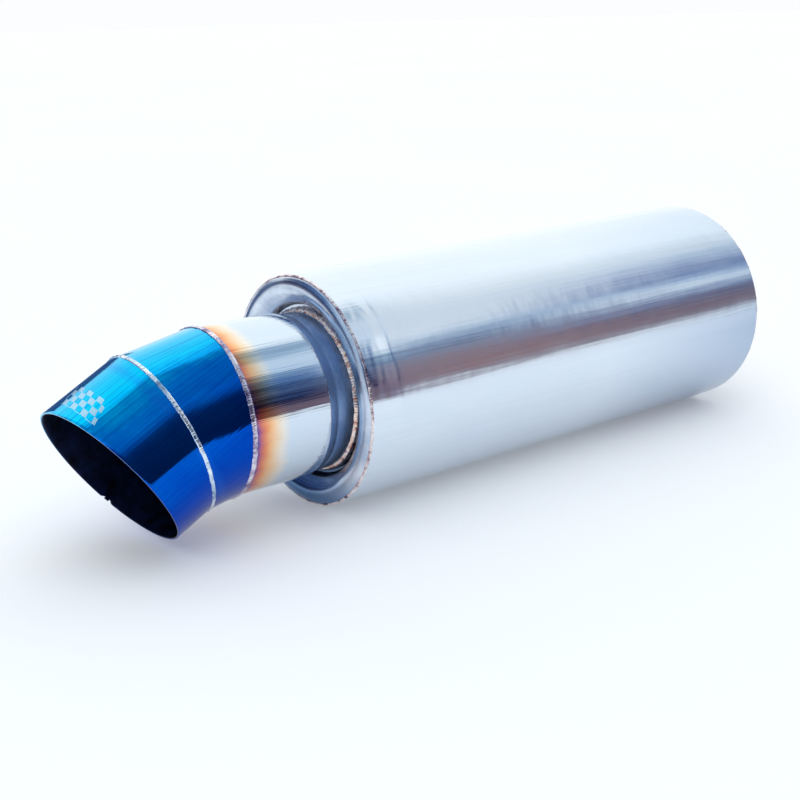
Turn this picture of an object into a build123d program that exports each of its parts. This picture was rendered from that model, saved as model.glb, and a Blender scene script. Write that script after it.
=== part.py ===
from build123d import *
import os
from math import cos, degrees, radians, sin

# Straight-through racing muffler with a mitred, slash-cut exhaust tip.
# Row frame: origin at the centre of the inlet pipe's open end, +X along the canister
# towards the outlet, +Z up, tip turned down. Millimetres.
# Profiles of turned parts are drawn as (x, radius) and revolved about X.

# ---- driving dimensions -------------------------------------------------------------
SHELL_R = 63.5            # outer radius of the canister, a 5 inch body
SHELL_WALL = 1.2
SHELL_LENGTH = 307.0
INLET_STUB = 36.0         # inlet pipe length outside the canister
CAP_SHEET = 1.5           # thickness of the pressed end caps

INLET_R = 31.75           # sized end of the inlet pipe, to 2.5 inches
INLET_WALL = 1.5
SIZED_END = 38.0          # length of the inlet pipe's sized end
INNER_R = 31.25           # the rest of the inlet pipe, and the core
CORE_WALL = 1.2
OUTLET_R = 44.45          # 3.5 inch outlet pipe and tip
OUTLET_WALL = 1.5
TIP_WALL = 1.2

NECK_HOLE_R = 42.9        # hole in the outlet cap, and the neck ring that passes it
NECK_SHEET = 1.6
NECK_FRONT = 12.4         # front edge of the neck, from the shell's outlet edge
PIPE_START = 13.0         # rear edge of the outlet pipe, from the shell's outlet edge

JOINT_1 = 58.3            # first mitre joint on the axis, from the shell's outlet edge
BEND_1 = 10.5             # degrees, first tip segment below the canister axis
JOINT_1_TILT = 1.0        # degrees, plane of the first joint below square
SEGMENT_1 = 29.3          # axis length of the first tip segment
BEND_2 = 17.2             # degrees, second tip segment below the first
JOINT_2_TILT = 18.2       # degrees, plane of the second joint below square
SEGMENT_2 = 32.7          # axis length of the second tip segment
SLASH_TILT = 6.4          # degrees, the lip's plane away from square
SLASH_TURN = 42.4         # degrees, direction of that tilt from straight down towards +Y
SEAM_TURN = 219.5         # degrees round the tip from +Y through +Z, place of its seams

RIM_BEAD = 1.2            # section radii of the weld beads
INLET_BEAD = 2.1
SLEEVE_BEAD = 1.5
NECK_BEAD = 1.8
PIPE_BEAD = 0.9
TIP_BEAD_1 = 1.6
TIP_BEAD_2 = 1.3

WOOL_R = 37.0             # outside of the steel wool round the core
TIE_WIRE_R = 0.5
PACKING_GAP = 2 * TIE_WIRE_R
PACKING_EASE = 0.5        # gap between the packing and the shell
CORE_HOLE_R = 2.5
CORE_HOLE_ROWS = 18
CORE_HOLES_PER_ROW = 12
TIE_COUNT = 4

# ---- places along X -----------------------------------------------------------------
SHELL_IN = INLET_STUB
SHELL_OUT = SHELL_IN + SHELL_LENGTH
SHELL_INNER_R = SHELL_R - SHELL_WALL
INLET_PIPE_END = SHELL_IN + 25.0
CORE_START = INLET_PIPE_END + 0.5
CORE_END = SHELL_OUT - 50.0
CONE_SMALL = SHELL_OUT - 62.0
CONE_RISE = SHELL_OUT - 48.0
CONE_TOP = SHELL_OUT - 24.0
NECK_REAR = SHELL_OUT - 20.0
SLEEVE_START = INLET_PIPE_END - 10.0
SLEEVE_END = INLET_PIPE_END + 14.0
SLEEVE_SHEET = 1.2
WOOL_START = SLEEVE_END + 2.0
WOOL_END = CONE_SMALL - 4.0
PACKING_START = SHELL_IN + 18.0
RIM_BEAD_R = SHELL_R - 1.25


def revolved(face):
    """Solid of revolution about X of a face drawn as (x, radius)."""
    return revolve(Plane.XZ * face, Axis.X)


def turned(*points):
    """Turned solid with a straight-sided outline."""
    return revolved(make_face(Polyline(*points, close=True)))


def tube(start, end, outer, inner):
    """Plain tube on the X axis."""
    return turned((start, inner), (end, inner), (end, outer), (start, outer))


def pressed(points, radii, sheet):
    """Sheet part: the rounded line is its outside, and the sheet lies to its right."""
    line = FilletPolyline(*points, radius=radii)
    return revolved(make_face(offset(line, sheet, side=Side.RIGHT, closed=True)))


def bead(x, radius, size, under, *neighbours):
    """Ring of weld metal outside a radius, cut back to the parts that it joins."""
    ring = revolved(Pos(x, radius) * Circle(size)) - tube(x - 10, x + 10, under, 1)
    for part in neighbours:
        ring -= part
    return ring


def save(name, shape):
    export_step(shape, f"parts/{name}.step")


# ---- canister -----------------------------------------------------------------------
def make_shell():
    """Rolled tube with a shallow band, 16 mm wide, swaged in over each cap's skirt."""
    band = 16.0
    ramp = 3.0
    swage = 0.3
    outline = (
        (SHELL_IN, SHELL_INNER_R),
        (SHELL_OUT, SHELL_INNER_R),
        (SHELL_OUT, SHELL_R - swage),
        (SHELL_OUT - band, SHELL_R - swage),
        (SHELL_OUT - band - ramp, SHELL_R),
        (SHELL_IN + band + ramp, SHELL_R),
        (SHELL_IN + band, SHELL_R - swage),
        (SHELL_IN, SHELL_R - swage),
    )
    return turned(*outline)


def cap_outline(hole_r):
    """Outer face of a pressed cap, x from the shell's edge and growing outwards."""
    return (
        (-14.0, SHELL_INNER_R),
        (0.9, SHELL_INNER_R),
        (4.2, 56.3),
        (-2.3, 48.0),
        (-6.8, 46.6),
        (-6.8, hole_r),
    )


CAP_FILLETS = [1.8, 7.0, 1.6, 1.0]


def make_outlet_cap():
    """Sloped shoulder, round crest, conical dish and a sunk flat lip round the neck."""
    points = [(SHELL_OUT + x, r) for x, r in cap_outline(NECK_HOLE_R)]
    return pressed(points, CAP_FILLETS, CAP_SHEET)


def make_inlet_cap():
    """The same pressing turned about, with its lip carried in to the inlet pipe."""
    points = [(-x, r) for x, r in cap_outline(INNER_R)]
    line = FilletPolyline(*points, radius=CAP_FILLETS)
    face = make_face(offset(line, CAP_SHEET, side=Side.LEFT, closed=True))
    return revolved(Pos(SHELL_IN, 0) * face)


def make_shell_seam():
    """Root of the shell's lengthwise seam, low on the far side. Outside it is flush."""
    width = 3.0
    height = 0.35
    turn = degrees(width / SHELL_R)
    outline = Polyline(
        (SHELL_IN + 22, SHELL_INNER_R - height),
        (SHELL_OUT - 22, SHELL_INNER_R - height),
        (SHELL_OUT - 22, SHELL_INNER_R),
        (SHELL_IN + 22, SHELL_INNER_R),
        close=True,
    )
    strip = revolve(Plane.XZ * make_face(outline), Axis.X, turn)
    return Rot(X=130 - turn / 2) * strip


# ---- inlet, core and packing --------------------------------------------------------
def make_inlet_pipe():
    """Pipe whose free end is sized a little larger, for a slip joint or a clamp."""
    step = SIZED_END + 0.6
    outside = (INLET_PIPE_END, INNER_R), (step, INNER_R), (SIZED_END, INLET_R), (0, INLET_R)
    inside = [(x, r - INLET_WALL) for x, r in reversed(outside)]
    return turned(*outside, *inside)


def make_core():
    """Perforated tube with staggered rows of round holes."""
    core = tube(CORE_START, CORE_END, INNER_R, INNER_R - CORE_WALL)
    first = WOOL_START + 6
    pitch = (WOOL_END - 6 - first) / (CORE_HOLE_ROWS - 1)
    step = 360 / CORE_HOLES_PER_ROW
    drills = []
    for row in range(CORE_HOLE_ROWS):
        for k in range(CORE_HOLES_PER_ROW):
            turn = (k + 0.5 * (row % 2)) * step
            place = Pos(first + row * pitch, 0, 0) * Rot(X=turn) * Pos(0, 0, INNER_R)
            drills.append(place * Cylinder(CORE_HOLE_R, 4 * CORE_WALL))
    return core - drills


def make_sleeve():
    """Slip sleeve that joins the inlet pipe and the core end to end."""
    return tube(SLEEVE_START, SLEEVE_END, INNER_R + SLEEVE_SHEET, INNER_R)


def make_cone():
    """Cone from the core out to the neck, its small end slipped over the core."""
    sheet = 1.2
    points = (
        (CONE_SMALL, INNER_R + sheet),
        (CONE_RISE, INNER_R + sheet),
        (CONE_TOP, NECK_HOLE_R - NECK_SHEET),
        (SHELL_OUT - 9.0, NECK_HOLE_R - NECK_SHEET),
    )
    return pressed(points, [6.0, 6.0], sheet)


def make_wool():
    return tube(WOOL_START, WOOL_END, WOOL_R, INNER_R)


def make_ties():
    """Wire loops that hold the steel wool on the core, one node."""
    span = WOOL_END - WOOL_START
    loops = []
    for k in range(TIE_COUNT):
        x = WOOL_START + span * (k + 0.5) / TIE_COUNT
        loops.append(revolved(Pos(x, WOOL_R + TIE_WIRE_R) * Circle(TIE_WIRE_R * 0.98)))
    return Compound(children=loops)


def make_packing():
    """Glass-fibre mat that fills the canister outside the wool."""
    inner = WOOL_R + PACKING_GAP
    outer = SHELL_INNER_R - PACKING_EASE
    return turned(
        (PACKING_START, inner),
        (CONE_RISE + 4, inner),
        (CONE_TOP, NECK_HOLE_R + 2),
        (SHELL_OUT - 16, NECK_HOLE_R + 2),
        (SHELL_OUT - 16, outer),
        (PACKING_START, outer),
    )


def make_cone_tacks(cone):
    """Four tack welds at the cone's small end."""
    under = tube(CONE_SMALL - 10, CONE_SMALL + 10, INNER_R, 1)
    tacks = []
    for k in range(4):
        place = Rot(X=45 + 90 * k) * Pos(CONE_SMALL, 0, INNER_R + 0.3)
        tacks.append(place * Sphere(1.6) - under - cone)
    return Compound(children=tacks)


# ---- outlet neck, pipe and tip ------------------------------------------------------
def make_neck():
    """Ring that rises from the cap's hole and flares to the outlet pipe's size."""
    points = (
        (NECK_REAR, NECK_HOLE_R),
        (SHELL_OUT + 7.2, NECK_HOLE_R),
        (SHELL_OUT + NECK_FRONT, 44.2),
    )
    return pressed(points, [6.0], NECK_SHEET)


def along(point, angle, distance):
    """Point that lies a distance along an axis, angled down from +X in the XZ plane."""
    drop = radians(angle)
    return (point[0] + distance * cos(drop), 0, point[2] - distance * sin(drop))


def facing(point, angle):
    """Plane whose normal is angled down from +X in the XZ plane."""
    drop = radians(angle)
    return Plane(origin=point, x_dir=(0, 1, 0), z_dir=(cos(drop), 0, -sin(drop)))


TIP_ANGLE_1 = BEND_1
TIP_ANGLE_2 = BEND_1 + BEND_2
JOINT_1_AT = (SHELL_OUT + JOINT_1, 0, 0)
JOINT_2_AT = along(JOINT_1_AT, TIP_ANGLE_1, SEGMENT_1)
LIP_AT = along(JOINT_2_AT, TIP_ANGLE_2, SEGMENT_2)
JOINT_1_PLANE = facing(JOINT_1_AT, JOINT_1_TILT)
JOINT_2_PLANE = facing(JOINT_2_AT, JOINT_2_TILT)


def slash_plane():
    """Plane of the lip, tilted down and to one side from square."""
    end = radians(TIP_ANGLE_2)
    tilt = radians(SLASH_TILT)
    turn = radians(SLASH_TURN)
    axis = Vector(cos(end), 0, -sin(end))
    down = Vector(-sin(end), 0, -cos(end))
    side = Vector(0, 1, 0)
    lean = down * cos(turn) + side * sin(turn)
    return Plane(origin=LIP_AT, x_dir=(0, 1, 0), z_dir=axis * cos(tilt) + lean * sin(tilt))


SLASH_PLANE = slash_plane()


def long_tube(point, angle, outer, inner):
    """Tube along a tip axis, long enough to be cut at both ends."""
    reach = 260
    rings = facing(point, angle) * (Circle(outer) - Circle(inner))
    return extrude(rings, reach / 2, both=True)


def between(shape, start_plane, end_plane):
    """The part of a shape that lies past one plane and before another."""
    past = split(shape, bisect_by=start_plane, keep=Keep.TOP)
    return split(past, bisect_by=end_plane, keep=Keep.BOTTOM)


def make_pipe():
    pipe = tube(SHELL_OUT + PIPE_START, JOINT_1_AT[0] + 20, OUTLET_R, OUTLET_R - OUTLET_WALL)
    return split(pipe, bisect_by=JOINT_1_PLANE, keep=Keep.BOTTOM)


def make_segment_1():
    whole = long_tube(JOINT_1_AT, TIP_ANGLE_1, OUTLET_R, OUTLET_R - TIP_WALL)
    return between(whole, JOINT_1_PLANE, JOINT_2_PLANE)


def make_segment_2():
    whole = long_tube(JOINT_2_AT, TIP_ANGLE_2, OUTLET_R, OUTLET_R - TIP_WALL)
    return between(whole, JOINT_2_PLANE, SLASH_PLANE)


def make_tip_bead(plane, major, size):
    """Weld bead round a mitre joint. Its bore is an oval that clears both tubes."""
    half_width = OUTLET_R + 0.08
    half_height = OUTLET_R + 0.95
    bore = extrude(plane * Ellipse(half_width, half_height), 10, both=True)
    return plane * Torus(major, size) - bore


def make_tip_seam(point, angle, start_plane, end_plane):
    """Seam bead on the inside of a rolled tip segment, low on its far side."""
    inner = OUTLET_R - TIP_WALL
    height = 0.5
    half_width = 1.3
    band = Circle(inner) - Circle(inner - height)
    slot = Pos(inner, 0) * Rectangle(10, 2 * half_width)
    section = band & (Rot(Z=SEAM_TURN) * slot)
    strip = extrude(facing(point, angle) * section, 130, both=True)
    return between(strip, start_plane, end_plane)


def make_round_welds(shell, outlet_cap, inlet_cap, sleeve, cone, neck, pipe):
    """The weld beads that run round the canister's axis."""
    neck_bore_r = NECK_HOLE_R - NECK_SHEET
    return {
        "outlet_rim_weld": bead(SHELL_OUT + 0.2, RIM_BEAD_R, RIM_BEAD, 60, shell, outlet_cap),
        "inlet_rim_weld": bead(SHELL_IN - 0.2, RIM_BEAD_R, RIM_BEAD, 60, shell, inlet_cap),
        "inlet_neck_weld": bead(SHELL_IN + 5.9, INNER_R + 0.4, INLET_BEAD, INNER_R, inlet_cap),
        "core_sleeve_weld": bead(SLEEVE_START, INNER_R + 0.5, SLEEVE_BEAD, INNER_R, sleeve),
        "cone_neck_weld": bead(NECK_REAR, neck_bore_r + 0.8, SLEEVE_BEAD, neck_bore_r - 0.8, neck, cone),
        "neck_weld": bead(
            SHELL_OUT - 5.7, NECK_HOLE_R + 0.3, NECK_BEAD, NECK_HOLE_R, neck, outlet_cap
        ),
        "pipe_neck_weld": bead(
            SHELL_OUT + 12.7, OUTLET_R - 0.75, PIPE_BEAD, OUTLET_R - 2.45, neck, pipe
        ),
    }


def main():
    os.makedirs("parts", exist_ok=True)

    shell = make_shell()
    outlet_cap = make_outlet_cap()
    inlet_cap = make_inlet_cap()
    inlet_pipe = make_inlet_pipe()
    sleeve = make_sleeve()
    core = make_core()
    cone = make_cone()
    neck = make_neck()
    pipe = make_pipe()
    segment_1 = make_segment_1()
    segment_2 = make_segment_2()

    nodes = {
        "canister_shell": shell,
        "canister_seam_weld": make_shell_seam(),
        "outlet_end_cap": outlet_cap,
        "inlet_end_cap": inlet_cap,
        "inlet_pipe": inlet_pipe,
        "core_sleeve": sleeve,
        "perforated_core": core,
        "core_outlet_cone": cone,
        "cone_tack_welds": make_cone_tacks(cone),
        "steel_wool_wrap": make_wool(),
        "wool_tie_wires": make_ties(),
        "glass_fibre_packing": make_packing(),
        "outlet_neck": neck,
        "outlet_pipe": pipe,
        "tip_segment_inner": segment_1,
        "tip_segment_outer": segment_2,
        "tip_weld_inner": make_tip_bead(JOINT_1_PLANE, OUTLET_R + 0.05, TIP_BEAD_1),
        "tip_weld_outer": make_tip_bead(JOINT_2_PLANE, OUTLET_R + 0.25, TIP_BEAD_2),
        "tip_seam_inner": make_tip_seam(JOINT_1_AT, TIP_ANGLE_1, JOINT_1_PLANE, JOINT_2_PLANE),
        "tip_seam_outer": make_tip_seam(JOINT_2_AT, TIP_ANGLE_2, JOINT_2_PLANE, SLASH_PLANE),
        **make_round_welds(shell, outlet_cap, inlet_cap, sleeve, cone, neck, pipe),
    }
    for name, shape in nodes.items():
        save(name, shape)


main()
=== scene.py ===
import bmesh
import bpy
import random
from math import cos, pi, radians, sin
from mathutils import Matrix, Vector


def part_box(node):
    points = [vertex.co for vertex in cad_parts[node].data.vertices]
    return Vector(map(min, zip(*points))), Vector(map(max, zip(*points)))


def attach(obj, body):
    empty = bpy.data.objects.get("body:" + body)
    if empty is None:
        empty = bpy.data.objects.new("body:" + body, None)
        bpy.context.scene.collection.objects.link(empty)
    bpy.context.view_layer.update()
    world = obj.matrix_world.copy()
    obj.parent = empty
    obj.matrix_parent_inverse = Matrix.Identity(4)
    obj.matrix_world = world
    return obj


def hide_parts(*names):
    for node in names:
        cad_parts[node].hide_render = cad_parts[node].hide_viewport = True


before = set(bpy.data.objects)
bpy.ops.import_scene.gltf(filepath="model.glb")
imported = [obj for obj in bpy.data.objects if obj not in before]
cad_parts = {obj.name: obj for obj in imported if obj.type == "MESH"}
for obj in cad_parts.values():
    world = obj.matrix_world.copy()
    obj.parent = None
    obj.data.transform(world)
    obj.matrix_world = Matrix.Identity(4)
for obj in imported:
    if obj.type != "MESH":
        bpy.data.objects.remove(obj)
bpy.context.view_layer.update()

# Racing muffler: a satin canister, a polished outlet pipe and a heat-blued mitred tip.
# Lengths in the helper code are millimetres until a mesh is made; X runs to the outlet.

MM = 0.001

# ---- dimensions, taken from the CAD boxes where they can be --------------------------
shell_lo, shell_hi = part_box("canister_shell")
X_IN = shell_lo.x / MM
X_OUT = shell_hi.x / MM
SHELL_R = shell_hi.y / MM
SHELL_WALL = 1.2
PIPE_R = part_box("outlet_pipe")[1].y / MM
INNER_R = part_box("perforated_core")[1].y / MM
NECK_R = 42.9
JOINT_1 = 58.3            # first mitre joint on the axis, from the shell's outlet edge
BEND_1 = 10.5             # degrees, first tip segment below the canister's axis
JOINT_1_TILT = 1.0        # degrees, plane of the first joint below square
SEGMENT_1 = 29.3          # axis length of the first tip segment
BEND_2 = 17.2             # degrees, second tip segment below the first
JOINT_2_TILT = 18.2       # degrees, plane of the second joint below square
SEGMENT_2 = 32.7          # axis length of the second tip segment
SLASH_TILT = 6.4          # degrees, the lip's plane away from square
SLASH_TURN = 42.4         # degrees, direction of that tilt from straight down towards +Y
SEAM_TURN = 219.5         # degrees round the tip from +Y through +Z, place of its seam
TIP_WALL = 1.2
PIPE_WALL = 1.5
CAP_SHEET = 1.5
NECK_SHEET = 1.6
CAP_FLOOR = 6.8           # depth of the cap's sunk lip behind the shell's edge
CAP_LIP_R = 46.6
NECK_FLARE = 7.2          # where the neck's flare starts, from the shell's outlet edge
NECK_FRONT = 12.4         # front edge of the neck, from the shell's outlet edge
PIPE_START = 13.0         # rear edge of the outlet pipe, from the shell's outlet edge
ROUND = 288               # segments round the axis of each turned piece
BAND = 16.0               # the shell's swaged end band, its shoulder and their drops
SHOULDER = 4.0
SHOULDER_DROP = 0.06
EDGE_DROP = 0.30


# ---- profiles ------------------------------------------------------------------------
def rounded(points, radii, step=12):
    """Line through points (x, r) with an arc at each inner corner."""
    line = [Vector(points[0])]
    for before, corner, after, radius in zip(points, points[1:], points[2:], radii):
        p, q, s = Vector(before), Vector(corner), Vector(after)
        a = (p - q).normalized()
        b = (s - q).normalized()
        half = a.angle(b) / 2
        setback = radius / sin(half) * cos(half)
        centre = q + (a + b).normalized() * (radius / sin(half))
        start = q + a * setback
        end = q + b * setback
        u = start - centre
        turn = u.angle_signed(end - centre)
        for k in range(step + 1):
            line.append(centre + Matrix.Rotation(-turn * k / step, 2) @ u)
    line.append(Vector(points[-1]))
    return line


def sheet(line, thickness):
    """Closed outline of a sheet that lies to the right of a line."""
    inner = []
    for k, p in enumerate(line):
        ahead = line[min(k + 1, len(line) - 1)]
        behind = line[max(k - 1, 0)]
        along = (ahead - behind).normalized()
        inner.append(p + Vector((along.y, -along.x)) * thickness)
    return list(line) + inner[::-1]


def divide(line, longest):
    """The same line with no span longer than a given length."""
    out = []
    for p, q in zip(line, line[1:]):
        count = max(1, int((q - p).length / longest + 0.999))
        for k in range(count):
            out.append(p.lerp(q, k / count))
    out.append(line[-1])
    return out


# ---- meshes --------------------------------------------------------------------------
def mesh_piece(name, rows, material, nodes, sharp=35):
    """One object from closed rows of points that go round the piece and join up."""
    count = len(rows)
    width = len(rows[0])
    verts = [tuple(c * MM for c in p) for row in rows for p in row]
    faces = []
    for i in range(count):
        j = (i + 1) % count
        for a in range(width):
            b = (a + 1) % width
            faces.append((i * width + a, i * width + b, j * width + b, j * width + a))
    mesh = bpy.data.meshes.new(name)
    mesh.from_pydata(verts, [], faces)
    mesh.validate()
    mesh.shade_smooth()
    mesh.set_sharp_from_angle(angle=radians(sharp))
    piece = bpy.data.objects.new(name, mesh)
    bpy.context.scene.collection.objects.link(piece)
    mesh.materials.append(material)
    fix_normals(mesh)
    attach(piece, "root")
    for node in nodes:
        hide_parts(node)


def fix_normals(mesh):
    """Turn every face outwards when the closed mesh measures a negative volume."""
    volume = 0.0
    for face in mesh.polygons:
        p = mesh.vertices[face.vertices[0]].co
        volume += p.dot(face.normal) * face.area
    if volume < 0:
        mesh.flip_normals()


def turned(name, outline, material, nodes, sharp=35):
    """Outline (x, r) swept round X."""
    rows = []
    for i in range(ROUND):
        angle = 2 * pi * i / ROUND
        rows.append([(p.x, p.y * cos(angle), p.y * sin(angle)) for p in outline])
    mesh_piece(name, rows, material, nodes, sharp)


# ---- frame of the tip ----------------------------------------------------------------
def axis_down(angle):
    """Unit vector along +X, turned down by some degrees."""
    return Vector((cos(radians(angle)), 0, -sin(radians(angle))))


AXIS_0 = Vector((1, 0, 0))
AXIS_1 = axis_down(BEND_1)
AXIS_2 = axis_down(BEND_1 + BEND_2)
JOINT_1_AT = Vector((X_OUT + JOINT_1, 0, 0))
JOINT_2_AT = JOINT_1_AT + AXIS_1 * SEGMENT_1
LIP_AT = JOINT_2_AT + AXIS_2 * SEGMENT_2
NORMAL_1 = axis_down(JOINT_1_TILT)
NORMAL_2 = axis_down(JOINT_2_TILT)
DOWN_2 = axis_down(BEND_1 + BEND_2 + 90)
SIDE = Vector((0, 1, 0))
LEAN = DOWN_2 * cos(radians(SLASH_TURN)) + SIDE * sin(radians(SLASH_TURN))
LIP_NORMAL = AXIS_2 * cos(radians(SLASH_TILT)) + LEAN * sin(radians(SLASH_TILT))


def radial(axis, angle):
    """Unit vector square to a tip axis, at an angle from +Y through its upper side."""
    upper = SIDE.cross(axis) * -1
    if upper.z < 0:
        upper = -upper
    return SIDE * cos(angle) + upper * sin(angle)


def reach(origin, axis, out, radius, plane_point, normal):
    """Distance along an axis at which a line beside it meets a plane."""
    return ((plane_point - origin - out * radius).dot(normal)) / axis.dot(normal)


def cut_tube(name, origin, axis, start, end, radius, wall, material, nodes, lip=None):
    """Tube between two planes, each given as (point, normal).

    A lip gives the edge at each angle a rounding and a notch depth.
    """
    across = 26
    rounding = 0.3            # share of the lip's rounding that its two shoulder points keep
    rows = []
    for i in range(ROUND):
        angle = 2 * pi * i / ROUND
        out = radial(axis, angle)
        soft, notch = lip(angle) if lip else (0.0, 0.0)

        def place(along, r):
            return tuple(origin + axis * along + out * r)

        def ends(r):
            return reach(origin, axis, out, r, *start), reach(origin, axis, out, r, *end)

        inner = radius - wall
        middle = radius - wall / 2
        outer_start, outer_end = ends(radius)
        inner_start, inner_end = ends(inner)
        outer_span = outer_end - soft - notch - outer_start
        inner_span = inner_end - soft - notch - inner_start
        shares = [k / across for k in range(across + 1)]
        row = [place(outer_start + outer_span * f, radius) for f in shares]
        if soft:
            bevel = soft * rounding
            row.append(place(outer_end - bevel - notch, radius - bevel))
            row.append(place(ends(middle)[1] - notch, middle))
            row.append(place(inner_end - bevel - notch, inner + bevel))
        row += [place(inner_start + inner_span * f, inner) for f in reversed(shares)]
        rows.append(row)
    mesh_piece(name, rows, material, nodes)


# ---- weld beads ----------------------------------------------------------------------
def weld(name, path, size, pitch, seed, material, nodes, lean=0.0, count=900, under=0.35):
    """Rippled bead along a closed path. path(angle) gives point, outward and sideways.

    The size is half the width and the height, and the pitch is a ripple's length. Each ripple
    is a scale of its own height and shift, with a steep front and a long tail.
    """
    rng = random.Random(seed)
    waves = [(rng.randint(5, 40), rng.uniform(0, 2 * pi), rng.uniform(0.3, 1)) for _ in range(10)]
    half_width, height = size
    length = sum(
        (path(2 * pi * (k + 1) / 90)[0] - path(2 * pi * k / 90)[0]).length for k in range(90)
    )
    scales = round(length / pitch)
    lift = [rng.uniform(0.70, 1.12) for _ in range(scales)]
    shift = [rng.uniform(-0.20, 0.20) for _ in range(scales)]
    trail = 0.45              # how far a ripple's middle lags behind its edges, in ripples
    arc = 12
    rows = []
    for i in range(count):
        angle = 2 * pi * i / count
        point, out, side = path(angle)
        drift = sum(a * sin(n * angle + p) for n, p, a in waves) / 6
        tilt = radians(lean)
        o = out * cos(tilt) + side * sin(tilt)
        s = side * cos(tilt) - out * sin(tilt)
        row = []
        for k in range(arc + 1):
            a = pi * k / arc
            place = (i / count * scales - trail * sin(a)) % scales
            cell = int(place) % scales
            part = place % 1
            crest = (1 - part) ** 0.7 * min(1, part * 9)
            grow = 1 + 0.10 * drift
            high = height * lift[cell] * (0.80 + 0.20 * crest) * grow
            wide = half_width * (1 + 0.12 * drift) * (0.93 + 0.07 * crest)
            off = half_width * (shift[cell] * 0.5 + 0.12 * drift)
            row.append(tuple(point + s * (wide * cos(a) + off) + o * (high * sin(a))))
        row.append(tuple(point - s * half_width * 0.7 - o * under))
        row.append(tuple(point + s * half_width * 0.7 - o * under))
        rows.append(row)
    mesh_piece(name, rows, material, nodes, 60)


def round_path(x, r):
    """Circle round the X axis."""
    def path(angle):
        out = Vector((0, cos(angle), sin(angle)))
        return Vector((x, 0, 0)) + out * r, out, Vector((1, 0, 0))
    return path


def joint_path(plane_point, normal, axis_a, axis_b):
    """Path round a mitre joint, on the larger of the two tubes at each angle."""
    upper = SIDE.cross(normal) * -1
    if upper.z < 0:
        upper = -upper

    def path(angle):
        out = SIDE * cos(angle) + upper * sin(angle)
        longest = 0.0
        for axis in (axis_a, axis_b):
            flat = out - axis * out.dot(axis)
            longest = max(longest, PIPE_R / flat.length)
        return plane_point + out * longest, out, normal
    return path


# ---- shader helpers ------------------------------------------------------------------
def srgb(r, g, b):
    """Linear colour of an sRGB colour whose channels run to 255."""
    def linear(c):
        c = c / 255
        return c / 12.92 if c <= 0.04045 else ((c + 0.055) / 1.055) ** 2.4
    return (linear(r), linear(g), linear(b), 1.0)


def stops(*places):
    """Ramp stops from (place, r, g, b)."""
    return [(place, srgb(*rgb)) for place, *rgb in places]


class Nodes:
    """Short names for the node calls that every material uses."""

    def __init__(self, tree):
        self.tree = tree
        self.tree.nodes.clear()

    def add(self, kind, **values):
        node = self.tree.nodes.new(kind)
        for key, value in values.items():
            setattr(node, key, value)
        return node

    def link(self, source, target):
        self.tree.links.new(source, target)

    def put(self, target, value):
        if isinstance(value, bpy.types.NodeSocket):
            self.link(value, target)
        else:
            target.default_value = value

    def math(self, kind, *values, clamp=False):
        node = self.add("ShaderNodeMath", operation=kind, use_clamp=clamp)
        for socket, value in zip(node.inputs, values):
            self.put(socket, value)
        return node.outputs[0]

    def xyz(self, source):
        node = self.add("ShaderNodeSeparateXYZ")
        self.link(source, node.inputs[0])
        return node.outputs

    def combine(self, x, y, z):
        node = self.add("ShaderNodeCombineXYZ")
        for socket, value in zip(node.inputs, (x, y, z)):
            self.put(socket, value)
        return node.outputs[0]

    def noise(self, vector, detail=3.0, rough=0.55):
        node = self.add("ShaderNodeTexNoise")
        self.link(vector, node.inputs["Vector"])
        node.inputs["Scale"].default_value = 1.0
        node.inputs["Detail"].default_value = detail
        node.inputs["Roughness"].default_value = rough
        return node.outputs["Fac"]

    def ramp(self, value, marks):
        node = self.add("ShaderNodeValToRGB")
        elements = node.color_ramp.elements
        while len(elements) > 1:
            elements.remove(elements[0])
        elements[0].position, elements[0].color = marks[0]
        for place, colour in marks[1:]:
            elements.new(place).color = colour
        self.put(node.inputs[0], value)
        return node.outputs[0]

    def span(self, value, low, high, to_low=0.0, to_high=1.0, smooth=False):
        node = self.add("ShaderNodeMapRange")
        node.interpolation_type = "SMOOTHSTEP" if smooth else "LINEAR"
        for name, number in (
            ("From Min", low), ("From Max", high), ("To Min", to_low), ("To Max", to_high)
        ):
            node.inputs[name].default_value = number
        self.put(node.inputs["Value"], value)
        return node.outputs[0]

    def mix(self, factor, a, b):
        node = self.add("ShaderNodeMix", data_type="RGBA")
        self.put(node.inputs[0], factor)
        self.put(node.inputs[6], a)
        self.put(node.inputs[7], b)
        return node.outputs[2]

    def bump(self, height, strength, distance, normal=None):
        node = self.add("ShaderNodeBump")
        node.inputs["Strength"].default_value = strength
        node.inputs["Distance"].default_value = distance
        self.link(height, node.inputs["Height"])
        if normal is not None:
            self.link(normal, node.inputs["Normal"])
        return node.outputs[0]


def material(name):
    """New material, with its node helper, its shader and the object's own coordinates."""
    mat = bpy.data.materials.new(name)
    mat.use_nodes = True
    n = Nodes(mat.node_tree)
    out = n.add("ShaderNodeOutputMaterial")
    shader = n.add("ShaderNodeBsdfPrincipled")
    n.link(shader.outputs[0], out.inputs[0])
    place = n.add("ShaderNodeTexCoord").outputs["Object"]
    return mat, n, shader, place


def stretched(n, place, along, across):
    """Coordinates in millimetres, squeezed so that noise runs along X."""
    x, y, z = n.xyz(place)
    return n.combine(
        n.math("MULTIPLY", x, 1000 * along),
        n.math("MULTIPLY", y, 1000 * across),
        n.math("MULTIPLY", z, 1000 * across),
    )


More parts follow.
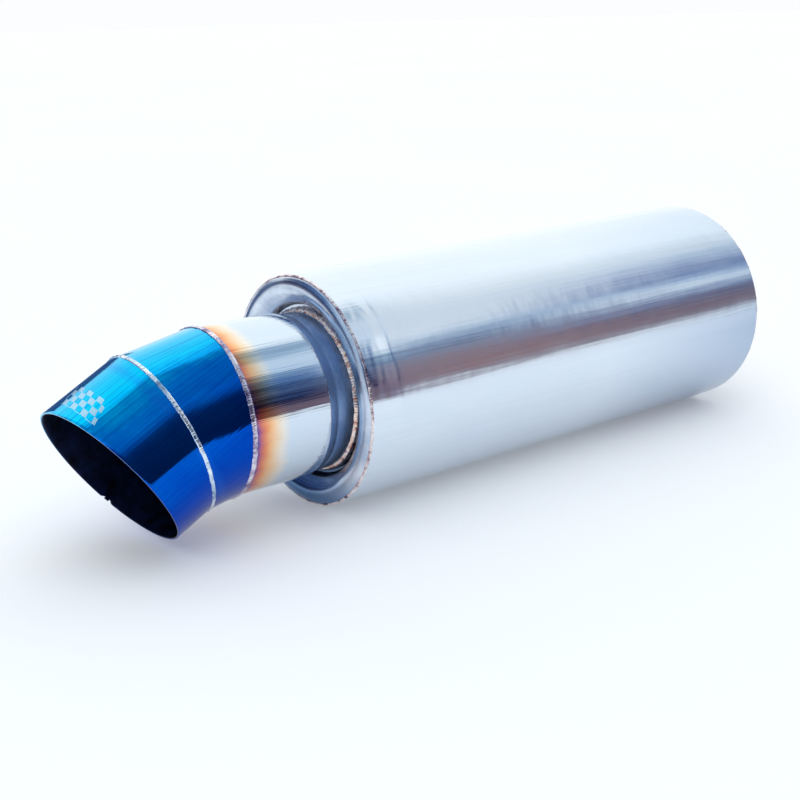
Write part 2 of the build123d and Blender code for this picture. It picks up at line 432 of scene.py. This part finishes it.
# ---- materials -----------------------------------------------------------------------
def satin_shell():
    """Satin stainless: fine lengthwise grain, faint roll marks, slight waves and cloudy wear.

    It is painted paler towards the outlet and darker low at the inlet end, painted light and shade,
    and it is smoother on the end band.
    """
    mat, n, shader, place = material("satin_shell")
    x, _, z = n.xyz(place)
    grain = n.noise(stretched(n, place, 0.010, 1.6), 4.0, 0.6)
    broad = n.noise(stretched(n, place, 0.006, 0.16), 3.0, 0.5)
    cloud = n.noise(stretched(n, place, 0.03, 0.05), 4.0, 0.6)
    waves = n.noise(stretched(n, place, 0.075, 0.035), 2.0, 0.5)
    # Painted light and shade: the inlet end is darker, darker still low down, and the outlet end is
    # paler.
    shaded_far_end = n.mix(cloud, srgb(200, 215, 230), srgb(208, 221, 234))
    shaded_far_end = n.mix(n.span(z, -0.004, 0.016), srgb(170, 187, 209), shaded_far_end)
    lit_near_end = n.mix(cloud, srgb(218, 229, 240), srgb(226, 235, 244))
    colour = n.mix(n.span(x, 0.03, 0.17), shaded_far_end, lit_near_end)
    colour = n.mix(n.span(grain, 0.3, 0.7, 0.10, 0.0), colour, srgb(150, 155, 165))
    n.link(colour, shader.inputs["Base Color"])
    shader.inputs["Metallic"].default_value = 1.0
    worn = n.span(cloud, 0.3, 0.7, -0.02, 0.04)
    rough = n.math("ADD", n.span(grain, 0.3, 0.7, 0.12, 0.20), worn)
    shoulder = (X_OUT - BAND - SHOULDER) * MM, (X_OUT - BAND) * MM
    n.link(n.math("MULTIPLY", rough, n.span(x, *shoulder, 1.0, 0.6)), shader.inputs["Roughness"])
    height = n.bump(waves, 0.5, 0.0004, n.bump(grain, 0.10, 0.0001))
    n.link(n.bump(broad, 0.25, 0.0006, height), shader.inputs["Normal"])
    return mat


def pressed_steel(name, dished, haze):
    """Pressed stainless with circular draw marks.

    A dished cap has painted shade: it is darkened in the groove of its dish on the lower half, and
    towards its bottom.
    The neck has a hazy blue film instead.
    """
    valley_shade_edge = 0.0474, 0.0506
    valley_shade_top = -0.004, 0.014
    underside_shade = -0.060, -0.030
    mat, n, shader, place = material(name)
    x, y, z = n.xyz(place)
    radius = n.math("SQRT", n.math("ADD", n.math("MULTIPLY", y, y), n.math("MULTIPLY", z, z)))
    marks = n.combine(n.math("MULTIPLY", radius, 1500), n.math("MULTIPLY", x, 1500), 0.0)
    rings = n.noise(marks, 3.0)
    cloud = n.noise(stretched(n, place, 0.05, 0.05), 4.0)
    colour = n.mix(n.span(cloud, 0.35, 0.65), srgb(178, 194, 214), srgb(226, 233, 242))
    if dished:
        # Painted shade: the dish darkens in the groove beside the neck bead, on its lower half
        # only.
        painted_valley_shade = n.span(radius, *valley_shade_edge, 0.85, 0.0, smooth=True)
        painted_valley_shade = n.math("MULTIPLY", painted_valley_shade, n.span(z, *valley_shade_top, 1.0, 0.0, smooth=True))
        colour = n.mix(painted_valley_shade, colour, srgb(44, 60, 92))
        # Painted shade: the cap darkens towards its bottom.
        low = n.span(z, *underside_shade, 1.0, 0.0, smooth=True)
        colour = n.mix(low, colour, srgb(84, 120, 162))
    else:
        colour = n.mix(0.5, colour, srgb(124, 170, 222))
    n.link(colour, shader.inputs["Base Color"])
    shader.inputs["Metallic"].default_value = 1.0 - haze
    n.link(n.span(rings, 0.3, 0.7, 0.17, 0.29), shader.inputs["Roughness"])
    n.link(n.bump(rings, 0.12, 0.0002), shader.inputs["Normal"])
    return mat


HEAT_TINT = stops(
    (0.00, 70, 58, 150), (0.07, 120, 80, 150), (0.15, 196, 104, 112), (0.28, 232, 142, 96),
    (0.44, 246, 190, 136), (0.60, 246, 216, 180), (0.78, 240, 232, 220), (1.00, 214, 226, 237),
)
HEAT_REACH = 0.021        # how far the heat colours run back from the tip weld
HEAT_SHIFT = 0.0045       # how much less far they run along the top


def polished_pipe():
    """Polished tube with heat colours in the last stretch before the tip weld."""
    mat, n, shader, place = material("polished_steel")
    x, _, z = n.xyz(place)
    streaks = n.noise(stretched(n, place, 0.012, 0.55), 3.0)
    fine = n.noise(stretched(n, place, 0.02, 3.0), 3.0)
    wander = n.noise(stretched(n, place, 0.05, 0.12), 4.0)
    lean = n.math("MULTIPLY", z, -sin(radians(JOINT_1_TILT)))
    distance = n.math("SUBTRACT", (X_OUT + JOINT_1) * MM, n.math("ADD", x, lean))
    distance = n.math("ADD", distance, n.span(wander, 0.2, 0.8, -0.0018, 0.0018))
    distance = n.math("ADD", distance, n.span(z, 0.010, 0.040, 0.0, HEAT_SHIFT))
    heat = n.ramp(n.span(distance, 0.0, HEAT_REACH), HEAT_TINT)
    colour = n.mix(n.span(streaks, 0.35, 0.7, 0.0, 0.12), heat, srgb(180, 195, 215))
    n.link(colour, shader.inputs["Base Color"])
    shader.inputs["Metallic"].default_value = 1.0
    n.link(n.span(fine, 0.3, 0.7, 0.045, 0.10), shader.inputs["Roughness"])
    first = n.bump(fine, 0.05, 0.00005)
    n.link(n.bump(streaks, 0.22, 0.0005, first), shader.inputs["Normal"])
    return mat


# Oxide blues round the tip, lightening to cyan over its top: real oxide colour with a painted
# highlight.
OXIDE_AND_TOP_HIGHLIGHT = stops(
    (0.00, 3, 68, 172), (0.30, 0, 72, 186), (0.52, 0, 96, 204), (0.66, 0, 128, 222),
    (0.77, 2, 198, 248), (1.00, 10, 200, 246),
)


def blued_tip():
    """Heat-blued tube: oxide colours outside with a painted cyan highlight over the top, soot and
    painted shade inside, and a chequered etching.
    """
    mat, n, shader, place = material("blued_tip")
    tilt = radians(BEND_1 + BEND_2)
    x, y, z = n.xyz(place)
    dx = n.math("SUBTRACT", x, JOINT_2_AT.x * MM)
    dz = n.math("SUBTRACT", z, JOINT_2_AT.z * MM)
    along, up = turned_down(n, dx, dz, tilt)
    turn = n.math("ARCTAN2", up, y)
    arc = n.math("MULTIPLY", turn, PIPE_R * MM)
    lines = n.combine(n.math("MULTIPLY", along, 12), n.math("MULTIPLY", arc, 900), 0.0)
    streaks = n.noise(lines, 4.0, 0.6)
    rolls = n.combine(
        n.math("MULTIPLY", along, 8), n.math("MULTIPLY", y, 150), n.math("MULTIPLY", up, 150)
    )
    broad = n.noise(rolls, 3.0)
    cloud = n.noise(stretched(n, place, 0.04, 0.06), 4.0)
    around = n.math("ADD", turn, n.span(cloud, 0.2, 0.8, -0.25, 0.25))
    # Painted highlight: the oxide colour turns cyan over the tip's top.
    colour = n.ramp(n.span(around, -1.2, 1.9), OXIDE_AND_TOP_HIGHLIGHT)
    colour = n.mix(n.span(streaks, 0.42, 0.68, 0.0, 0.45), colour, srgb(0, 52, 150))
    from_weld = n.math("ABSOLUTE", along)
    colour = n.mix(n.span(from_weld, 0.0, 0.004, 0.30, 0.0), colour, srgb(30, 110, 214))

    etch = etching(n, along, arc)
    colour = n.mix(etch, colour, srgb(186, 220, 236))

    inside = inner_wall(n, x, y, z, dx, dz, up)
    # Soot and painted shade: the inside of the tube is near black.
    soot_and_shade = n.noise(stretched(n, place, 0.15, 0.15), 5.0)
    dark = n.mix(n.span(soot_and_shade, 0.35, 0.65), srgb(6, 10, 26), srgb(26, 42, 86))
    colour = n.mix(inside, colour, dark)
    n.link(colour, shader.inputs["Base Color"])
    n.link(n.math("SUBTRACT", 1.0, n.math("MULTIPLY", inside, 0.2)), shader.inputs["Metallic"])
    rough = n.math("ADD", n.span(streaks, 0.3, 0.7, 0.05, 0.12), n.math("MULTIPLY", etch, 0.35))
    rough = n.math("ADD", rough, n.math("MULTIPLY", inside, 0.30))
    n.link(rough, shader.inputs["Roughness"])
    first = n.bump(streaks, 0.22, 0.0001)
    n.link(n.bump(broad, 0.26, 0.0006, first), shader.inputs["Normal"])
    return mat


def turned_down(n, dx, dz, tilt):
    """Distances along and above an axis that points down from +X by an angle."""
    along = n.math("SUBTRACT", n.math("MULTIPLY", dx, cos(tilt)), n.math("MULTIPLY", dz, sin(tilt)))
    up = n.math("ADD", n.math("MULTIPLY", dx, sin(tilt)), n.math("MULTIPLY", dz, cos(tilt)))
    return along, up


def etching(n, along, arc):
    """Generic slanted chequer band etched on the upper side of the second segment."""
    start, end = 0.0170, 0.0300
    low, high = 0.0600, 0.0900
    cell = 0.0033
    stretch = 1.35
    slant = 0.45
    slanted = n.math("ADD", arc, n.math("MULTIPLY", along, slant))
    rows = n.math("FLOOR", n.math("DIVIDE", along, cell))
    columns = n.math("FLOOR", n.math("DIVIDE", slanted, cell * stretch))
    odd = n.math("ABSOLUTE", n.math("MODULO", n.math("ADD", rows, columns), 2.0))
    mask = n.math("MULTIPLY", odd, 0.85)
    for value, first, last in ((along, start, end), (slanted, low, high)):
        mask = n.math("MULTIPLY", mask, n.math("GREATER_THAN", value, first))
        mask = n.math("MULTIPLY", mask, n.math("LESS_THAN", value, last))
    return mask


def inner_wall(n, x, y, z, dx, dz, up_2):
    """1 on the inside of either tip segment, 0 on the outside."""
    within_wall = 0.75
    joint_x = n.math("SUBTRACT", x, JOINT_1_AT.x * MM)
    up_1 = turned_down(n, joint_x, z, radians(BEND_1))[1]
    flat = n.math("MULTIPLY", y, y)
    radius_1, radius_2 = (
        n.math("SQRT", n.math("ADD", flat, n.math("MULTIPLY", up, up))) for up in (up_1, up_2)
    )
    past_joint = turned_down(n, dx, dz, radians(JOINT_2_TILT))[0]
    second = n.math("GREATER_THAN", past_joint, 0.0)
    first = n.math("SUBTRACT", 1.0, second)
    radius = n.math(
        "ADD", n.math("MULTIPLY", radius_2, second), n.math("MULTIPLY", radius_1, first)
    )
    return n.math("LESS_THAN", radius, (PIPE_R - within_wall) * MM)


def weld_metal(name, colours, rough, scale):
    """Rippled weld metal whose heat colours change every few millimetres."""
    mat, n, shader, place = material(name)
    patch = n.noise(stretched(n, place, 0.22 * scale, 0.22 * scale), 4.0, 0.65)
    fleck = n.noise(stretched(n, place, 1.4, 1.4), 3.0, 0.6)
    value = n.math("ADD", n.math("MULTIPLY", patch, 0.75), n.math("MULTIPLY", fleck, 0.25))
    n.link(n.ramp(n.span(value, 0.33, 0.67), colours), shader.inputs["Base Color"])
    shader.inputs["Metallic"].default_value = 1.0
    n.link(n.span(fleck, 0.3, 0.7, rough - 0.08, rough + 0.10), shader.inputs["Roughness"])
    n.link(n.bump(fleck, 0.25, 0.0002), shader.inputs["Normal"])
    return mat


GOLD = stops(
    (0.00, 112, 80, 104), (0.20, 206, 150, 140), (0.42, 250, 212, 188), (0.60, 255, 242, 232),
    (0.78, 246, 216, 206), (1.00, 170, 140, 168),
)
RIM = stops(
    (0.00, 58, 54, 94), (0.24, 140, 108, 124), (0.44, 222, 198, 198), (0.66, 250, 242, 240),
    (0.86, 214, 180, 168), (1.00, 130, 96, 100),
)
SILVER = stops(
    (0.00, 104, 92, 132), (0.25, 160, 146, 178), (0.48, 212, 204, 220), (0.72, 244, 240, 246),
    (1.00, 196, 164, 188),
)
PALE_SILVER = stops(
    (0.00, 112, 138, 172), (0.28, 170, 196, 222), (0.50, 222, 238, 250), (0.75, 250, 253, 255),
    (1.00, 192, 212, 234),
)


def drilled_steel():
    """Plain stainless tube, a little browned by the gas."""
    mat, n, shader, place = material("perforated_steel")
    grain = n.noise(stretched(n, place, 0.05, 0.9), 3.0)
    tint = n.noise(stretched(n, place, 0.02, 0.03), 3.0)
    n.link(n.mix(tint, srgb(150, 140, 130), srgb(190, 190, 196)), shader.inputs["Base Color"])
    shader.inputs["Metallic"].default_value = 1.0
    n.link(n.span(grain, 0.3, 0.7, 0.24, 0.40), shader.inputs["Roughness"])
    n.link(n.bump(grain, 0.15, 0.0002), shader.inputs["Normal"])
    return mat


def fibre(name, dark, light, rough, metal):
    """Matted strands that run round the core."""
    mat, n, shader, place = material(name)
    strands = n.noise(stretched(n, place, 2.2, 0.35), 5.0, 0.7)
    tufts = n.noise(stretched(n, place, 0.12, 0.12), 4.0, 0.6)
    value = n.math("ADD", n.math("MULTIPLY", strands, 0.6), n.math("MULTIPLY", tufts, 0.4))
    n.link(n.mix(n.span(value, 0.35, 0.65), dark, light), shader.inputs["Base Color"])
    shader.inputs["Metallic"].default_value = metal
    n.link(n.span(strands, 0.3, 0.7, rough - 0.1, rough + 0.1), shader.inputs["Roughness"])
    n.link(n.bump(value, 0.8, 0.002), shader.inputs["Normal"])
    return mat


# ---- world, floor, light, camera -----------------------------------------------------
GLOW = (1.14, 1.18, 1.20, 1.0)
PALE = (1.0, 1.03, 1.06, 1.0)


def horizon(degrees):
    """Place on the world's ramps of an angle round X from +Y, through +Z."""
    return (degrees + 180) / 360


def sky(*bands):
    """Ramp marks: pale below the horizon, then bands, then bright.

    A band is (degrees, r, g, b), or (degrees, colour) for one of the named colours.
    """
    marks = [(0.0, PALE), (horizon(bands[0][0] - 3), PALE)]
    for degrees, *colour in bands:
        marks.append((horizon(degrees), srgb(*colour) if len(colour) == 3 else colour[0]))
    return marks + [(horizon(100), GLOW), (1.0, GLOW)]


# Each sky is what one stretch of the object mirrors towards the main camera.
SKY_TIP = sky(
    (-12, PALE), (-8, 70, 84, 92), (6, 70, 84, 92), (32, 78, 92, 104), (38, 104, 120, 136),
    (42, 150, 166, 182), (50, 204, 214, 224), (58, 186, 198, 210), (80, 190, 202, 214),
    (99, 186, 198, 212),
)
SKY_PIPE = sky(
    (-5, 126, 106, 116), (5, 112, 94, 112), (9, 30, 38, 72), (16, 28, 42, 82), (20, 60, 84, 128),
    (23, 40, 62, 108), (26, 100, 120, 158), (28, 48, 74, 120), (33, 46, 74, 118),
    (38, 96, 130, 182), (45, 88, 126, 172), (50, 138, 170, 202), (55, 214, 230, 248),
    (70, 216, 232, 246), (76, 176, 200, 222), (85, 140, 168, 196), (90, 196, 216, 232),
)
SKY_END_BAND = sky(
    (-6, 158, 154, 174), (0, 132, 118, 138), (8, 146, 128, 146), (16, 156, 144, 160),
    (24, 160, 162, 178), (30, 124, 148, 178), (35, 196, 220, 236), (40, GLOW),
    (50, GLOW), (57, 232, 238, 246), (70, 234, 240, 248), (80, 246, 250, 252),
)
SKY_NEAR_BODY = sky(
    (-2, 140, 138, 152), (4, 160, 126, 126), (18, 158, 130, 134), (24, 150, 138, 148),
    (29, 120, 124, 152), (35, 102, 126, 162), (41, 158, 184, 210), (47, 230, 240, 249),
    (55, 246, 250, 254), (70, 236, 242, 248), (82, 250, 253, 255),
)
SKY_FAR_BODY = sky(
    (-2, 138, 130, 144), (8, 138, 116, 126), (18, 114, 108, 130), (25, 134, 146, 180),
    (31, 200, 216, 234), (35, 246, 252, 255), (40, 222, 238, 252), (45, 148, 168, 204),
    (49, 122, 140, 178), (58, 156, 170, 202), (68, 202, 216, 234), (80, 236, 244, 250),
)


# Direction X over which one sky turns into the next, and where both sides become alike.
FAR_TO_NEAR = -0.74, -0.64
NEAR_TO_BAND = -0.602, -0.596
BAND_TO_PIPE = -0.557, -0.548
PIPE_TO_TIP = -0.50, -0.44
TIP_TO_PIPE = 0.30, 0.38
SIDES_ALIKE = -0.25, 0.1


def make_world():
    """Studio sky of soft bands that run along X and change with the direction's X."""
    world = bpy.data.worlds.new("studio")
    bpy.context.scene.world = world
    world.use_nodes = True
    n = Nodes(world.node_tree)
    out = n.add("ShaderNodeOutputWorld")
    back = n.add("ShaderNodeBackground")
    n.link(back.outputs[0], out.inputs[0])
    x, y, z = n.xyz(n.add("ShaderNodeTexCoord").outputs["Generated"])

    def share(low, high):
        return n.span(x, low, high, smooth=True)

    def ramp_place(turn):
        return n.math("DIVIDE", n.math("ADD", turn, pi), 2 * pi)

    # Towards +X both sides have the same bands, and the bands wander a little.
    mirror = share(*SIDES_ALIKE)
    own = n.math("MULTIPLY", n.math("SUBTRACT", 1.0, mirror), y)
    side = n.math("ADD", own, n.math("MULTIPLY", mirror, n.math("ABSOLUTE", y)))
    turn = n.math("ARCTAN2", z, side)
    swirl = n.combine(n.math("MULTIPLY", x, 6), n.math("MULTIPLY", turn, 9), 0.0)
    turn = n.math("ADD", turn, n.span(n.noise(swirl, 3.0), 0.3, 0.7, -0.035, 0.035))
    place = ramp_place(turn)
    colour = n.mix(share(*NEAR_TO_BAND), n.ramp(place, SKY_NEAR_BODY), n.ramp(place, SKY_END_BAND))
    colour = n.mix(share(*BAND_TO_PIPE), colour, n.ramp(place, SKY_PIPE))
    colour = n.mix(share(*FAR_TO_NEAR), n.ramp(place, SKY_FAR_BODY), colour)
    # The tip's bands are straight, and each side has its own.
    straight = ramp_place(n.math("ARCTAN2", z, y))
    before_end = n.math("SUBTRACT", 1.0, share(*TIP_TO_PIPE))
    over_tip = n.math("MULTIPLY", share(*PIPE_TO_TIP), before_end)
    colour = n.mix(over_tip, colour, n.ramp(straight, SKY_TIP))
    n.link(colour, back.inputs[0])
    back.inputs[1].default_value = 1.0


FLOOR_GLOW = 0.18         # light table: the share of the floor's brightness that is its own
FLOOR_SIZE = 40.0
FLOOR_GAP = 0.0002
FLOOR_FRONT = 0.62        # the table's front edge, beside the camera
DOME_R = 12.0
FLAG_Y = -0.25
FLAG_WIDTH = 0.13
FLAG_TOP = 0.10
SUN_POWER = 1.3
SUN_SPREAD = 75           # degrees across the soft source
SUN_AIM = (-0.25, -0.5, -1.0)
WHITE = (1.0, 1.0, 1.0, 1.0)
BLACK = (0.0, 0.0, 0.0, 1.0)


def studio_object(name, data, mat=None):
    """Object in the scene's own collection. A mesh may be given its one material."""
    obj = bpy.data.objects.new(name, data)
    bpy.context.scene.collection.objects.link(obj)
    if mat:
        data.materials.append(mat)
    return obj


def one_face(name, corners):
    """Mesh of one four-cornered face."""
    mesh = bpy.data.meshes.new(name)
    mesh.from_pydata(corners, [], [(0, 1, 2, 3)])
    return mesh


def make_floor():
    """Pale table that glows a little and ends in front of the object."""
    level = shell_lo.z - FLOOR_GAP
    corners = [
        (-FLOOR_SIZE, -FLOOR_SIZE, level), (FLOOR_SIZE, -FLOOR_SIZE, level),
        (FLOOR_SIZE, FLOOR_FRONT, level), (-FLOOR_SIZE, FLOOR_FRONT, level),
    ]
    mat, n, shader, place = material("floor")
    cloud = n.noise(stretched(n, place, 0.002, 0.002), 2.0)
    n.link(n.mix(cloud, srgb(228, 230, 232), srgb(232, 234, 236)), shader.inputs["Base Color"])
    shader.inputs["Emission Color"].default_value = WHITE
    shader.inputs["Emission Strength"].default_value = FLOOR_GLOW
    shader.inputs["Roughness"].default_value = 0.9
    shader.inputs["Specular IOR Level"].default_value = 0.1
    floor = studio_object("floor", one_face("floor", corners), mat)


RAYS = ("camera", "diffuse", "glossy", "transmission", "shadow", "volume_scatter")


def glowing(name, mesh, colour, seen_by):
    """Self-lit studio surface that only one kind of ray sees."""
    mat, _, shader, _ = material(name)
    shader.inputs["Base Color"].default_value = BLACK
    shader.inputs["Specular IOR Level"].default_value = 0.0
    shader.inputs["Emission Color"].default_value = colour
    shader.inputs["Emission Strength"].default_value = 1.0
    obj = studio_object(name, mesh, mat)
    for ray in RAYS:
        setattr(obj, "visible_" + ray, ray == seen_by)


def make_backdrop():
    """Pale dome that only the camera sees, so the studio's lights stay out of view."""
    mesh = bpy.data.meshes.new("backdrop")
    form = bmesh.new()
    bmesh.ops.create_uvsphere(form, u_segments=48, v_segments=24, radius=DOME_R)
    form.to_mesh(mesh)
    form.free()
    glowing("backdrop", mesh, (0.97, 0.985, 1.0, 1.0), "camera")


def make_flag():
    """Slate card behind the outlet, seen only in reflections on the cap's crest."""
    x0 = X_OUT * MM
    x1 = x0 + FLAG_WIDTH
    z0, z1 = shell_lo.z, FLAG_TOP
    corners = [(x0, FLAG_Y, z0), (x1, FLAG_Y, z0), (x1, FLAG_Y, z1), (x0, FLAG_Y, z1)]
    glowing("flag", one_face("flag", corners), srgb(76, 98, 138), "glossy")


def make_light():
    """Wide soft source from above the outlet's near side, kept out of reflections."""
    data = bpy.data.lights.new("softbox", "SUN")
    data.energy = SUN_POWER
    data.angle = radians(SUN_SPREAD)
    data.color = (1.0, 0.97, 0.93)
    light = studio_object("softbox", data)
    light.rotation_euler = Vector(SUN_AIM).to_track_quat("-Z", "Y").to_euler()
    light.visible_glossy = False


def make_camera():
    """Long lens that looks down on the outlet's near side."""
    stand = (0.7295, 0.5782, 0.2045)
    data = bpy.data.cameras.new("camera")
    data.sensor_width = 36.0
    data.lens = 60.579
    data.clip_start = 0.01
    data.clip_end = 200.0
    camera = studio_object("camera", data)
    right = Vector((-0.78213, 0.62259, -0.02554))
    up = Vector((-0.20045, -0.21258, 0.95636))
    back = right.cross(up)
    turn = Matrix((right, up, back)).transposed().to_4x4()
    camera.matrix_world = Matrix.Translation(stand) @ turn
    bpy.context.scene.camera = camera


make_world()
make_floor()
make_backdrop()
make_flag()
make_light()
make_camera()
bpy.context.scene.view_settings.view_transform = "Standard"

MAT_SHELL = satin_shell()
MAT_CAP = pressed_steel("pressed_steel", True, 0.0)
MAT_NECK = pressed_steel("neck_steel", False, 0.16)
MAT_PIPE = polished_pipe()
MAT_TIP = blued_tip()
MAT_GOLD = weld_metal("gold_weld", GOLD, 0.26, 1.0)
MAT_RIM = weld_metal("rim_weld", RIM, 0.28, 0.9)
MAT_SILVER = weld_metal("silver_weld", SILVER, 0.26, 0.5)
MAT_PALE = weld_metal("pale_weld", PALE_SILVER, 0.24, 0.4)
MAT_CORE = drilled_steel()
MAT_WOOL = fibre("steel_wool", srgb(60, 60, 64), srgb(150, 150, 156), 0.5, 0.8)
MAT_GLASS = fibre("glass_fibre", srgb(196, 190, 170), srgb(236, 232, 220), 0.85, 0.0)


# ---- canister ------------------------------------------------------------------------
def end_band(depth):
    """Drop of the shell's surface at a depth from its edge: a soft shoulder, then a slope."""
    if depth > BAND + SHOULDER:
        return 0.0
    if depth > BAND:
        t = (BAND + SHOULDER - depth) / SHOULDER
        return SHOULDER_DROP * t * t * (3 - 2 * t)
    return SHOULDER_DROP + (EDGE_DROP - SHOULDER_DROP) * (BAND - depth) / BAND


def shell_outline():
    """Outside from the outlet's edge to the inlet's, then back along the bore."""
    step = 0.5
    spans = 24
    corner_depth, corner_drop = 0.35, 0.25
    depths = [corner_depth] + [k * step for k in range(1, 44)]
    last = depths[-1]
    middle = X_OUT - X_IN - 2 * last
    outer = [Vector((X_OUT - depth, SHELL_R - end_band(depth))) for depth in depths]
    outer += [Vector((X_OUT - last - middle * k / spans, SHELL_R)) for k in range(1, spans)]
    outer += [Vector((X_IN + depth, SHELL_R - end_band(depth))) for depth in reversed(depths)]
    inner = SHELL_R - SHELL_WALL
    edge = SHELL_R - EDGE_DROP - corner_drop
    return outer + [
        Vector((X_IN, edge)), Vector((X_IN, inner)), Vector((X_OUT, inner)), Vector((X_OUT, edge)),
    ]


turned("shell_skin", shell_outline(), MAT_SHELL, ["canister_shell"], sharp=25)


def cap_line(hole):
    """Outside of a pressed cap as (x, r), x from the shell's edge and growing outwards."""
    skirt = SHELL_R - SHELL_WALL
    points = (
        (-14.0, skirt), (0.9, skirt), (4.2, 56.3), (-2.3, 48.0), (-CAP_FLOOR, CAP_LIP_R),
        (-CAP_FLOOR, hole),
    )
    return divide(rounded(points, (1.8, 7.0, 1.6, 1.0)), 3.0)


outlet = [Vector((X_OUT + p.x, p.y)) for p in sheet(cap_line(NECK_R), CAP_SHEET)]
turned("outlet_cap_skin", outlet, MAT_CAP, ["outlet_end_cap"])
inlet = [Vector((X_IN - p.x, p.y)) for p in sheet(cap_line(INNER_R), CAP_SHEET)]
turned("inlet_cap_skin", inlet, MAT_CAP, ["inlet_end_cap"])

neck_points = ((X_OUT - 20, NECK_R), (X_OUT + NECK_FLARE, NECK_R), (X_OUT + NECK_FRONT, 44.2))
neck_line = divide(rounded(neck_points, (6.0,)), 2.0)
turned("neck_skin", sheet(neck_line, NECK_SHEET), MAT_NECK, ["outlet_neck"])

RIM_OUT = 0.35            # the rim bead's centre, out from the shell's edge, and its radius
RIM_R = 62.55
weld("outlet_rim_bead", round_path(X_OUT + RIM_OUT, RIM_R), size=(0.80, 0.46), pitch=1.3, seed=3,
     material=MAT_RIM, nodes=["outlet_rim_weld"], lean=40, count=1400)
weld("inlet_rim_bead", round_path(X_IN - RIM_OUT, RIM_R), size=(0.80, 0.46), pitch=1.3, seed=4,
     material=MAT_RIM, nodes=["inlet_rim_weld"], lean=-40, count=1400)
weld("neck_bead", round_path(X_OUT - 4.2, 43.1), size=(2.2, 1.5), pitch=1.5, seed=5,
     material=MAT_GOLD, nodes=["neck_weld"], lean=40, count=1400, under=1.9)
weld("inlet_neck_bead", round_path(X_IN + 5.6, INNER_R + 0.3), size=(1.9, 1.4), pitch=1.4, seed=6,
     material=MAT_GOLD, nodes=["inlet_neck_weld"], lean=-40, under=0.6)
weld("pipe_neck_bead", round_path(X_OUT + 12.75, 43.9), size=(0.55, 0.4), pitch=1.2, seed=7,
     material=MAT_SILVER, nodes=["pipe_neck_weld"], under=0.4, count=1200)

# ---- outlet pipe and tip -------------------------------------------------------------
PIPE_AT = Vector((X_OUT + PIPE_START, 0, 0))
cut_tube("pipe_skin", PIPE_AT, AXIS_0, (PIPE_AT, AXIS_0), (JOINT_1_AT, NORMAL_1), PIPE_R,
         PIPE_WALL, MAT_PIPE, ["outlet_pipe"])
cut_tube("tip_inner_skin", JOINT_1_AT, AXIS_1, (JOINT_1_AT, NORMAL_1), (JOINT_2_AT, NORMAL_2),
         PIPE_R, TIP_WALL, MAT_TIP, ["tip_segment_inner"])


def lip_edge(angle):
    """Rounded lip, and a small notch where the tip's seam ends."""
    softness = 0.3
    notch_depth = 1.5
    notch_half_width = radians(4.5)
    away = (angle - radians(SEAM_TURN) + pi) % (2 * pi) - pi
    return softness, notch_depth * max(0.0, 1 - (away / notch_half_width) ** 2)


cut_tube("tip_outer_skin", JOINT_2_AT, AXIS_2, (JOINT_2_AT, NORMAL_2), (LIP_AT, LIP_NORMAL),
         PIPE_R, TIP_WALL, MAT_TIP, ["tip_segment_outer"], lip=lip_edge)

weld("tip_bead_inner", joint_path(JOINT_1_AT, NORMAL_1, AXIS_0, AXIS_1), size=(1.5, 0.7),
     pitch=1.3, seed=8, material=MAT_SILVER, nodes=["tip_weld_inner"],
     count=1300)
weld("tip_bead_outer", joint_path(JOINT_2_AT, NORMAL_2, AXIS_1, AXIS_2), size=(1.15, 0.6),
     pitch=1.2, seed=9, material=MAT_PALE, nodes=["tip_weld_outer"],
     count=1300)

# ---- pieces kept from CAD ------------------------------------------------------------
KEPT = {
    "inlet_pipe": MAT_PIPE,
    "canister_seam_weld": MAT_SILVER,
    "core_sleeve": MAT_CORE,
    "core_sleeve_weld": MAT_SILVER,
    "perforated_core": MAT_CORE,
    "core_outlet_cone": MAT_CORE,
    "cone_tack_welds": MAT_SILVER,
    "cone_neck_weld": MAT_SILVER,
    "steel_wool_wrap": MAT_WOOL,
    "wool_tie_wires": MAT_CORE,
    "glass_fibre_packing": MAT_GLASS,
    "tip_seam_inner": MAT_TIP,
    "tip_seam_outer": MAT_TIP,
}
for node, mat in KEPT.items():
    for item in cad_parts[node].material_slots:
        item.material = mat
